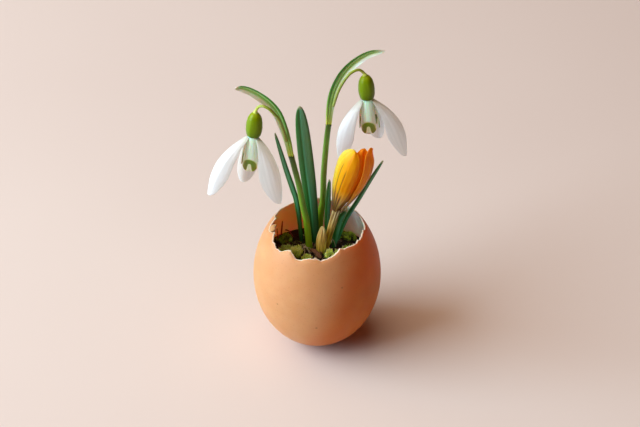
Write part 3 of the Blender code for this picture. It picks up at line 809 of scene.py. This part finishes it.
# %% Spathe mesh
def spathe_mesh(name, points, upper_edge):
    """`upper_edge`, 1 or -1, is the edge of the blade that lies uppermost in the arch."""
    up, v = blade_grid(45, 80)
    half = petal_outline(1.6, 0.95, fullest=0.55, tip=0.15)(v)
    track = curve_through(points)
    side, out = (at_share(x, v) for x in side_and_out(track, FRONT))
    keels = np.exp(-((up - 0.72) / 0.26) ** 2) + 0.75 * np.exp(-(up / 0.14) ** 2)
    closed = np.exp(-(v / 0.3) ** 2)
    thick = 0.14 + 0.75 * keels * (1 - 0.5 * v) + 0.8 * closed
    thick *= np.sqrt(1 - 0.9 * np.abs(up) ** 6)
    sway = 0.12 * np.sin(34 * v + 2.0 * up * upper_edge) * np.minimum(up, 0) ** 2
    bow = (sway - 0.45 * half * (1 - up * up)) * (1 - closed)
    centre = at_share(track, v) + side * (up * upper_edge * half)[..., None]
    front, back = (centre + out * (bow + sign * thick / 2)[..., None] for sign in (1, -1))
    return two_sided(name, front, back, up, v)


for side_name, plan in SNOWDROPS.items():
    mesh = spathe_mesh(f"{side_name}_spathe", plan["spathe"], plan["upper_edge"])
    show(mesh, [spathe_skin], f"snowdrop_{side_name}_spathe")

# %% [markdown]
# ## Flower stalk and ovary
#
# The stalk is a thread of a millimetre that widens where it meets the ovary. The
# ovary is the plump green barrel that the petals hang from: taut, glossy, with six
# faint lobes, yellow green where light shines into it.

# %% Stalk and ovary materials
stalk_skin, shader = new_material("olive_flower_stalk", Roughness=0.4, Subsurface_Weight=0.25,
                                  Subsurface_Scale=0.0008)
stalk_tone = add_node(stalk_skin, "ValToRGB", {"Fac": places(stalk_skin)["Y"]},
                      [(0.0, "#9aa850"), (0.4, "#83922c"), (0.75, "#a6b63c"), (1.0, "#cbd860")])
fill(shader, {"Base Color": stalk_tone})

ovary_skin = streaked_material(
    "glossy_green_ovary", 24.0,
    [(0.0, "#9cac10"), (0.2, "#7c9400"), (0.7, "#728c00"), (0.95, "#5c7800"), (1.0, "#7c9014")],
    [(0.3, "#dfe3cf"), (0.7, "#ffffff")], 0.7, Roughness=0.34, IOR=1.45, Specular_IOR_Level=0.22,
    Subsurface_Weight=0.15, Subsurface_Scale=0.001, Subsurface_Radius=(0.8, 1.0, 0.1))

# %% Stalk and ovary meshes
OVARY_RADIUS, OVARY_LENGTH = 2.7, 8.8
# Its radius, as a share of the widest, at shares of its length
OVARY_PROFILE = [(0, 0.16), (0.02, 0.34), (0.06, 0.52), (0.12, 0.67), (0.24, 0.85), (0.42, 0.96),
                 (0.6, 1.0), (0.78, 0.97), (0.90, 0.90), (0.97, 0.82), (1.0, 0.66)]


def around(axis, turn):
    """Unit vector square to the flower's axis, at `turn` degrees from +X."""
    flat = Vector((math.cos(math.radians(turn)), math.sin(math.radians(turn)), 0))
    return (flat - axis * flat.dot(axis)).normalized()


def ovary_mesh(name, top, hang):
    share, radius = np.array(OVARY_PROFILE).T
    v = np.concatenate([np.linspace(0, 0.12, 10), np.linspace(0.14, 0.88, 22), np.linspace(0.9, 1, 9)])
    turn = np.linspace(0, math.tau, 48, endpoint=False)
    reach = OVARY_RADIUS * np.interp(v, share, radius)[:, None] * (1 + 0.018 * np.cos(6 * turn))
    side = np.array(around(hang, 0.0))
    other = np.cross(np.array(hang), side)
    axis_points = np.array(top) + np.array(hang) * (OVARY_LENGTH * v)[:, None]
    rings = (axis_points[:, None] + side * (reach * np.cos(turn))[..., None]
             + other * (reach * np.sin(turn))[..., None])
    u = np.broadcast_to(np.linspace(0, 1, 49), (len(v), 49))
    return loft(name, rings, np.stack([u, np.broadcast_to(v[:, None], u.shape)], axis=-1))


for side_name, plan in SNOWDROPS.items():
    mesh = stem_mesh(f"{side_name}_flower_stalk", plan["pedicel"],
                     lambda v: 0.48 + 0.35 * np.exp(-((1 - v) / 0.05) ** 2), sides=16)
    show(mesh, [stalk_skin], f"snowdrop_{side_name}_pedicel")
    mesh = ovary_mesh(f"{side_name}_ovary", Vector(plan["ovary"]), Vector(plan["hang"]).normalized())
    show(mesh, [ovary_skin], f"snowdrop_{side_name}_ovary")

# %% [markdown]
# ## Snowdrop petals
#
# Three long outer petals are spoons of clean white, matt with a silky sheen, lined
# by veins that show more as shallow grooves than as colour. The three inner ones
# form a short tube. Each has a notch in its tip and a green mark round the notch,
# like an arch on two feet, and green grey veins shine through. The mark is painted
# into the mesh by its distance from that arch, so its outline stays crisp.

# %% Petal materials
white_petal = streaked_material(
    "silky_white_petal", 15.0, [(0.0, "#dfe3bd"), (0.10, "#f1f2e6"), (0.25, "#ffffff")],
    [(0.25, "#e8ebea"), (0.6, "#f6f7f6")], 1.0, relief=0.3,
    Roughness=0.48, Subsurface_Weight=0.8, Subsurface_Scale=0.003, Subsurface_Radius=(1.0, 0.9, 0.8))

marked_petal, shader = new_material("white_petal_with_green_arch", Roughness=0.45,
                                    Subsurface_Weight=0.7, Subsurface_Scale=0.002)
streaks = lengthwise(marked_petal, 9.0)
vein_tone = add_node(marked_petal, "ValToRGB", {"Fac": streaks},
                     [(0.30, "#cfd9a6"), (0.42, "#eff3d3"), (0.6, "#fafbe9")])
arch = add_node(marked_petal, "Attribute", attribute_name="arch").outputs["Fac"]
arch_tone = add_node(marked_petal, "ValToRGB", {"Fac": arch},
                     [(0.0, "#f3f3ee"), (0.32, "#eef0cf"), (0.46, "#c9d673"), (0.56, "#659612"),
                      (1.0, "#558a0e")])
arch_cover = add_node(marked_petal, "MapRange", {"Value": arch, "From Min": 0.15, "From Max": 0.5})
marked = add_node(marked_petal, "Mix", {"Factor": arch_cover, "A": vein_tone, "B": arch_tone},
                  data_type="RGBA")
inner_veins = add_node(marked_petal, "Bump", {"Height": streaks, "Strength": 0.4, "Distance": 0.3 * MM})
fill(shader, {"Base Color": marked, "Normal": inner_veins})

# %% Petal shapes
# An outer petal seen from its side: (share of its length, share of its bulge)
SPOON = [(0, 0), (0.25, 0.68), (0.5, 1), (0.75, 0.74), (1, 0)]
INNER_LENGTH, INNER_HALF, INNER_FLARE = 11.8, 2.5, 9.0
ARCH_RADIUS, ARCH_RISE = 1.2, 2.1  # the arch's middle lies this high above the petal's tip


def vein_relief(u, v):
    """Shallow grooves between the veins and a soft roll of the rim, in mm."""
    grooves = 0.05 * np.cos(u * 22.0) * np.sin(math.pi * v) * (1 - u ** 4)
    return grooves + 0.12 * np.sin(7 * v + 2 * u) * u * u


inner_outline = petal_outline(INNER_HALF, 1.9, fullest=0.86, tip=0.8)


def green_arch(u, v):
    """1 on the middle line of the arch and its two spread feet, 0 from 1.9 mm away."""
    x, y = u * inner_outline(v), (1 - v) * INNER_LENGTH
    bow, feet = np.hypot(x, y - ARCH_RISE), np.abs(x) - 0.2 * (ARCH_RISE - y)
    off = np.where(y > ARCH_RISE, bow, feet) - ARCH_RADIUS
    away = np.hypot(np.where(off < 0, -1.6 * off, off), np.clip(1.0 - y, 0, None))
    return {"arch": np.clip(1 - away / 1.9, 0, 1)}


def petal_route(throat, hang, turn, flare, start, steps):
    """Root, heading and outward side of a petal; `steps` are (along, outward) in mm."""
    out = around(hang, turn)
    lean = math.radians(flare)
    heading = hang * math.cos(lean) + out * math.sin(lean)
    square = out * math.cos(lean) - hang * math.sin(lean)
    root = throat + out * start
    return [root + heading * a + square * b for a, b in steps], square


for side_name, plan in SNOWDROPS.items():
    hang = Vector(plan["hang"]).normalized()
    throat = Vector(plan["ovary"]) + hang * (OVARY_LENGTH + 0.1)
    for number, (turn, flare, length, half, bulge) in enumerate(plan["outer"], start=1):
        steps = [(length * share, bulge * rise) for share, rise in SPOON]
        route, square = petal_route(throat, hang, turn, flare, 1.7, steps)
        mesh = blade_mesh(f"{side_name}_outer_petal_{number}", route, square,
                          petal_outline(half, 0.8, fullest=0.6), 0.34, 0.8, across=49, along=72,
                          relief=vein_relief)
        show(mesh, [white_petal], f"snowdrop_{side_name}_outer_tepal_{number}")
    steps = [(-0.2, 0), (INNER_LENGTH * 0.5, 0.45), (INNER_LENGTH, 0)]
    for number in range(1, 4):
        turn = plan["inner_turn"] + 120.0 * (number - 1)
        route, square = petal_route(throat, hang, turn, INNER_FLARE, 1.6, steps)
        mesh = blade_mesh(f"{side_name}_inner_petal_{number}", route, square, inner_outline, 0.3, 0.42,
                          across=57, along=90, notch=0.09, values=green_arch)
        show(mesh, [marked_petal], f"snowdrop_{side_name}_inner_tepal_{number}")

# %% [markdown]
# ## Crocus flower
#
# A closed yellow crocus is a cup of six silky petals, three outside and three in the
# gaps between them. Each is part of a wall round the flower's axis, so it is made by
# angle and height, not along a curve of its own. The tissue glows: light from the
# window enters one side and comes out orange. Light is also painted into the colour:
# a pale rim on each petal as painted highlight, and a deeper orange as painted shade on
# the petals turned from the window. Brown feathering rises from the base on the
# outside, as a few fine lines.

# %% Crocus material
crocus_petal, shader = new_material(
    "silky_yellow_crocus_petal", Roughness=0.4, Specular_IOR_Level=0.12,
    Subsurface_Weight=0.6, Subsurface_Scale=0.002, Subsurface_Radius=(1.0, 0.45, 0.02))
at, streaks = places(crocus_petal), lengthwise(crocus_petal, 12.0)
# Across a petal: pale at one rim as painted light from the window, golden, then orange, partly the
# crocus's own hue and partly painted shade.
painted_light_across_petal = add_node(crocus_petal, "ValToRGB", {"Fac": at["X"]},
                      [(0.0, "#fad660"), (0.30, "#fdc634"), (0.50, "#ffac08"), (0.75, "#ff9800"),
                       (1.0, "#f28000")])
painted_shade_orange, feather = (add_node(crocus_petal, "Attribute", attribute_name=name).outputs["Fac"]
                 for name in ("painted_shade_orange", "feather"))
# Petals turned from the window are mixed to a deeper orange, as painted shade.
petal_hue_and_painted_light = add_node(crocus_petal, "Mix", {"Factor": painted_shade_orange, "A": painted_light_across_petal, "B": linear("#ff8600")},
                     data_type="RGBA")
petal_yellow = lay_streaks(crocus_petal, shader, petal_hue_and_painted_light, streaks,
                           [(0.3, "#eed9c8"), (0.6, "#ffffff")], 0.8, relief=0.35)
base_tan = add_node(crocus_petal, "ValToRGB", {"Fac": at["Y"]},
                    [(0.0, "#7a5620"), (0.12, "#a8854a"), (0.26, "#cba566"), (0.38, "#e8b44e")])
how_tan = add_node(crocus_petal, "MapRange", {"Value": at["Y"], "From Min": 0.16, "From Max": 0.44,
                                              "To Min": 1.0, "To Max": 0.0})
yellow_and_tan = add_node(crocus_petal, "Mix", {"Factor": how_tan, "A": petal_yellow, "B": base_tan},
                          data_type="RGBA")
feathered = add_node(crocus_petal, "Mix",
                     {"Factor": feather, "A": yellow_and_tan, "B": linear("#3c1c08")}, data_type="RGBA")
fill(shader, {"Base Color": feathered})

# %% Plan of the crocus
CROCUS_BASE, CROCUS_LENGTH = Vector((6.9, 5.0, 49.6)), 27.2
CROCUS_AXIS = Vector((0.28, -0.10, 0.955)).normalized()
# The cup's radius at shares of its height; curve_through takes points, so the last number is 0.
CROCUS_CUP = curve_through([(0.0, 1.3, 0), (0.08, 1.9, 0), (0.25, 3.4, 0), (0.42, 4.5, 0),
                            (0.60, 5.2, 0), (0.75, 5.4, 0), (0.89, 4.9, 0), (1.0, 3.9, 0)])
# (direction, distance out at the throat and at the mouth, half the angle spanned, length
# share, turn of its tip, distance that its tip curls in)
CROCUS_PETALS = {
    "outer_tepal_1": (-138.0, 0.52, 0.3, 52.0, 1.03, 8.0, 0.3),
    "outer_tepal_2": (-20.0, 0.52, 0.6, 47.0, 1.1, -26.0, 1.3),
    "outer_tepal_3": (106.0, 0.52, 0.3, 44.0, 0.7, 0.0, 0.0),
    "inner_tepal_1": (-76.0, -0.52, -0.5, 50.0, 1.08, -10.0, 0.8),
    "inner_tepal_2": (46.0, -0.52, -0.8, 44.0, 0.84, 0.0, 0.0),
    "inner_tepal_3": (168.0, -0.52, -0.8, 44.0, 0.84, 0.0, 0.0),
}
# Brown lines from the base: each is a place across, how far up it reaches, its half width.
FEATHERS = [(-0.50, 0.40, 0.20), (-0.12, 0.84, 0.07), (-0.10, 0.44, 0.20), (0.28, 0.42, 0.18),
            (0.30, 0.76, 0.065), (0.62, 0.36, 0.14), (-0.82, 0.33, 0.12)]

# %% Crocus petals
def feathering(u, v, strong):
    """How brown each point is: lines that narrow upwards and fan out a little."""
    cover = np.zeros_like(u)
    for across, top, width in FEATHERS:
        narrowed = width * (1 - 0.6 * v / top).clip(0.3)
        line = np.exp(-((u - across * (0.75 + 0.35 * v)) / narrowed) ** 2)
        cover = np.maximum(cover, line * np.clip((top - v) / 0.08, 0, 1))
    return cover * strong


def crocus_petal_mesh(name, plan, strong, painted_shade_orange, seed):
    """A piece of wall round the flower's axis, by angle and height."""
    turn, at_throat, at_mouth, span, length, tip_turn, tip_in = plan
    u, v = blade_grid(61, 90)
    radius = np.interp(v * length, CROCUS_CUP[:, 0], CROCUS_CUP[:, 1])
    radius += at_throat + (at_mouth - at_throat) * v - tip_in * v ** 8
    radius += 0.12 * np.sin(5 * u + seed) * v
    radius += 0.07 * np.cos(17 * u) * np.sin(math.pi * v) * (1 - u ** 4)
    width = 0.6 + 0.4 * np.sin(math.pi / 2 * np.minimum(v / 0.45, 1))
    width *= np.sqrt(np.maximum(1 - (np.maximum(v - 0.72, 0) / 0.281) ** 2.8, 0.001))
    turns = np.radians(turn + tip_turn * v ** 8 + u * span * width)
    across = around(CROCUS_AXIS, 0.0)
    side, other = np.array(across), np.array(CROCUS_AXIS.cross(across))
    out = side * np.cos(turns)[..., None] + other * np.sin(turns)[..., None]
    reach = CROCUS_LENGTH * length * (v + 0.012 * np.sin(6 * u + seed) * v ** 6)
    spine = np.array(CROCUS_BASE) + np.array(CROCUS_AXIS) * reach[..., None]
    thick = 0.17 * (1 - 0.5 * u ** 4)
    front, back = (spine + out * (radius + sign * thick)[..., None] for sign in (1, -1))
    painted = {"feather": feathering(u, v, strong), "painted_shade_orange": 0 * u + painted_shade_orange}
    return two_sided(name, front, back, u, v, painted)


for seed, (petal, plan) in enumerate(CROCUS_PETALS.items()):
    strong = 0.95 if petal.startswith("outer") else 0.3
    # Painted shade: no deeper orange on the petal facing the window, more on those turned away.
    painted_shade_orange = {"outer_tepal_1": 0.0, "outer_tepal_2": 0.85}.get(petal, 1.0)
    mesh = crocus_petal_mesh(f"crocus_{petal.replace('tepal', 'petal')}", plan, strong, painted_shade_orange, seed)
    show(mesh, [crocus_petal], f"crocus_{petal}")

# %% [markdown]
# ## Crocus tube and papery sheaths
#
# Below the cup the crocus has no stem but a long tube, wrapped in dry bracts that
# have turned to brown paper with darker lengthwise fibres. A second, paler sheath
# stands open round its foot like a small tent.

# %% Papery bract materials
brown_bract = streaked_material(
    "dry_brown_bract", 11.0, [(0.35, "#e6d84e"), (0.6, "#fff0c0"), (0.85, "#ffffff")],
    [(0.32, "#5a3c14"), (0.43, "#a07c3e"), (0.54, "#dcbe7c"), (0.64, "#f2e2ac")], 1.0,
    relief=0.6, rise=0.4 * MM, Roughness=0.55, Subsurface_Weight=0.15, Subsurface_Scale=0.0008)
pale_sheath = streaked_material(
    "pale_papery_sheath", 12.0,
    [(0.0, "#d2cc3e"), (0.25, "#eecc52"), (0.6, "#ffd070"), (1.0, "#ffdc94")],
    [(0.38, "#b4925a"), (0.56, "#ffffff")], 0.8, relief=0.5,
    Roughness=0.6, Subsurface_Weight=0.25, Subsurface_Scale=0.001)

# %% Tube and sheath
TUBE_ROUTE = [(2.5, 5.5, 31.0), (4.1, 5.4, 38.5), (5.4, 5.2, 44.1), (6.9, 5.0, 50.0)]
SHEATH_ROUTE = [(0.6, 3.1, 31.4), (0.8, 3.0, 35.8), (1.3, 3.1, 39.6), (2.0, 3.2, 43.6)]
mesh = stem_mesh("crocus_bract_tube", TUBE_ROUTE, lambda v: 1.15 + 0.3 * v, sides=44, flutes=9,
                 depth=0.14)
show(mesh, [brown_bract], "crocus_tube")
mesh = blade_mesh("crocus_open_sheath", SHEATH_ROUTE, (-0.45, -1, 0.1),
                  petal_outline(1.9, 1.3, fullest=0.25, tip=0.15), 0.3, 0.62,
                  relief=lambda u, v: 0.1 * np.cos(9 * u) + 0.15 * np.sin(9 * v) * u)
show(mesh, [pale_sheath], "crocus_sheath")

# %% [markdown]
# ## Leaves
#
# Snowdrop leaves are flat straps with a blue green bloom and a fold along one side,
# whose shade is painted in as a dark strip; crocus leaves are thin grass blades. All
# have fine parallel veins and a pale blunt tip, and are painted darker towards the foot
# as painted shade. The bloom scatters light, so the leaf is satin, never glossy.

# %% Leaf material
leaf_skin, shader = new_material("bloomy_strap_leaf", Roughness=0.42, Subsurface_Weight=0.12,
                                 Subsurface_Scale=0.0008)
at, streaks = places(leaf_skin), lengthwise(leaf_skin, 18.0)
# Across the leaf: the pale middle band is the bloom; the dark strip beside the fold and the dark far
# edge are painted shade.
leaf_bands_and_painted_shade = add_node(leaf_skin, "ValToRGB", {"Fac": at["X"]},
                      [(0.0, "#55944e"), (0.10, "#2a742c"), (0.34, "#328034"), (0.42, "#5cae80"),
                       (0.78, "#62b48a"), (0.90, "#2a7434"), (1.0, "#1f6228")])
leaf_green = lay_streaks(leaf_skin, shader, leaf_bands_and_painted_shade, streaks, [(0.3, "#c9dcc8"), (0.6, "#ffffff")],
                         0.8, relief=0.35)
# Painted shade: the leaf is darkened towards its foot, low in the shell.
painted_foot_shade = add_node(leaf_skin, "MapRange", {"Value": at["Y"], "From Min": 0.0, "From Max": 0.35,
                                              "To Min": 0.75, "To Max": 0.0})
leaf_with_foot_shade = add_node(leaf_skin, "Mix", {"Factor": painted_foot_shade, "A": leaf_green, "B": linear("#1f6c26")},
                  data_type="RGBA")
tip_cover = add_node(leaf_skin, "MapRange", {"Value": at["Y"], "From Min": 0.965, "From Max": 0.995,
                                             "To Max": 0.85})
tipped = add_node(leaf_skin, "Mix", {"Factor": tip_cover, "A": leaf_with_foot_shade, "B": linear("#b9c39a")},
                  data_type="RGBA")
fill(shader, {"Base Color": tipped})

# %% Leaf blades
# (route, half width, thickness, facing, depth of the channel as a share of the half width)
LEAVES = {
    "leaf_left_thin": ([(-5.3, 10.5, 30.8), (-6.9, 10.0, 47.9), (-8.4, 9.7, 54.7), (-10.6, 9.0, 63.4),
                        (-13.9, 8.0, 78.0)], 1.0, 0.7, (-0.2, -1.0, 0.1), 0.3),
    "leaf_centre_broad": ([(-0.7, 10.2, 30.8), (-2.1, 9.8, 50.1), (-3.5, 9.5, 64.6), (-4.8, 9.2, 78.6),
                           (-5.7, 9.0, 87.7)], 2.55, 0.7, (0.1, -1.0, 0.1), 0.35),
    "leaf_middle_short": ([(3.4, 9.0, 30.8), (3.5, 9.1, 41.0), (3.8, 9.2, 50.0), (4.2, 9.2, 58.8)],
                          1.0, 0.6, (0.3, -1.0, 0.0), 0.3),
    "leaf_right_thin": ([(6.7, 11.0, 30.8), (9.2, 9.0, 40.2), (11.0, 7.7, 45.7), (14.1, 7.0, 52.2),
                         (18.2, 6.8, 60.7), (22.0, 6.8, 68.0)], 0.8, 0.6, (0.2, -1.0, 0.2), 0.3),
    "leaf_right_short": ([(5.8, 7.9, 30.8), (6.9, 7.3, 39.0), (8.0, 6.8, 44.0), (9.7, 6.3, 48.0)],
                         1.35, 0.5, (0.4, -1.0, 0.2), 0.3),
}


def leaf_fold(half):
    """The fold: a groove a quarter of the way in, deeper on a wider leaf; its dark colour is painted
    shade in the leaf's bands.
    """
    return lambda u, v: -0.1 * half * np.exp(-((u + 0.28) / 0.12) ** 2)


for name, (route, half, thickness, facing, channel) in LEAVES.items():
    mesh = blade_mesh(f"{name}_blade", route, facing, petal_outline(half, half * 0.6, tip=0.15),
                      thickness, channel, relief=leaf_fold(half))
    show(mesh, [leaf_skin], name)

# %% [markdown]
# ## Litter on the soil
#
# Between the plants lie a flake of bark, pale threads of root and two dry reddish
# stalks. They are tiny, but they are what makes a patch of soil look real.

# %% Roots, stalks and bark
pale_root = grainy_material("pale_root_thread", {"Scale": 900.0},
                            [(0.35, "#8d7a62"), (0.65, "#d8cbb4")], Roughness=0.6)
red_stalk = grainy_material("dry_red_stalk", {"Scale": 900.0},
                            [(0.35, "#6a2416"), (0.65, "#b8543a")], Roughness=0.6)
bark = grainy_material("flake_of_bark", {"Scale": 600.0, "Detail": 5.0, "Distortion": 1.0},
                       [(0.35, "#2c140a"), (0.55, "#7a4a2c"), (0.7, "#c09268")], Roughness=0.8)
# (name, material, radius at the foot, route)
LITTER = [
    ("root_1", pale_root, 0.16,
     [(-5.6, 7.2, 32.9), (-4.6, 5.6, 34.3), (-3.4, 3.4, 34.2), (-2.2, 1.4, 32.8)]),
    ("root_2", pale_root, 0.12,
     [(-4.9, 6.4, 33.0), (-4.8, 4.6, 34.6), (-4.3, 2.6, 33.6), (-4.6, 0.8, 32.9)]),
    ("root_3", pale_root, 0.11,
     [(-6.3, 4.0, 32.7), (-4.7, 3.8, 34.2), (-2.6, 4.3, 33.8), (-1.2, 4.0, 32.8)]),
    ("root_loop", pale_root, 0.15,
     [(3.6, 7.4, 32.9), (4.4, 7.9, 35.0), (5.6, 6.8, 35.2), (6.5, 5.6, 33.2)]),
    ("red_stalk_1", red_stalk, 0.28, [(-12.6, 13.2, 33.0), (-12.3, 14.0, 36.0), (-12.1, 14.2, 38.2)]),
    ("red_stalk_2", red_stalk, 0.26, [(-11.0, 12.0, 36.0), (-9.8, 12.2, 35.2), (-8.4, 12.0, 33.0)]),
    ("red_stalk_3", red_stalk, 0.22, [(-13.6, 10.6, 33.0), (-13.9, 11.4, 35.4), (-14.0, 11.8, 36.8)]),
]
for name, material, radius, route in LITTER:
    mesh = stem_mesh(name, route, lambda v: radius * (1 - 0.5 * v ** 3), sides=8, along=24)
    show(mesh, [material])
BARK_ROUTE = [(-2.2, 3.8, 33.6), (-0.6, 2.0, 33.9), (1.3, -0.6, 33.2)]
mesh = blade_mesh("bark_flake", BARK_ROUTE, (-0.2, -0.4, 1), petal_outline(0.75, 0.5, tip=0.3), 0.35,
                  0.3, across=21, along=30, relief=lambda u, v: 0.14 * np.sin(9 * u + 14 * v))
show(mesh, [bark])
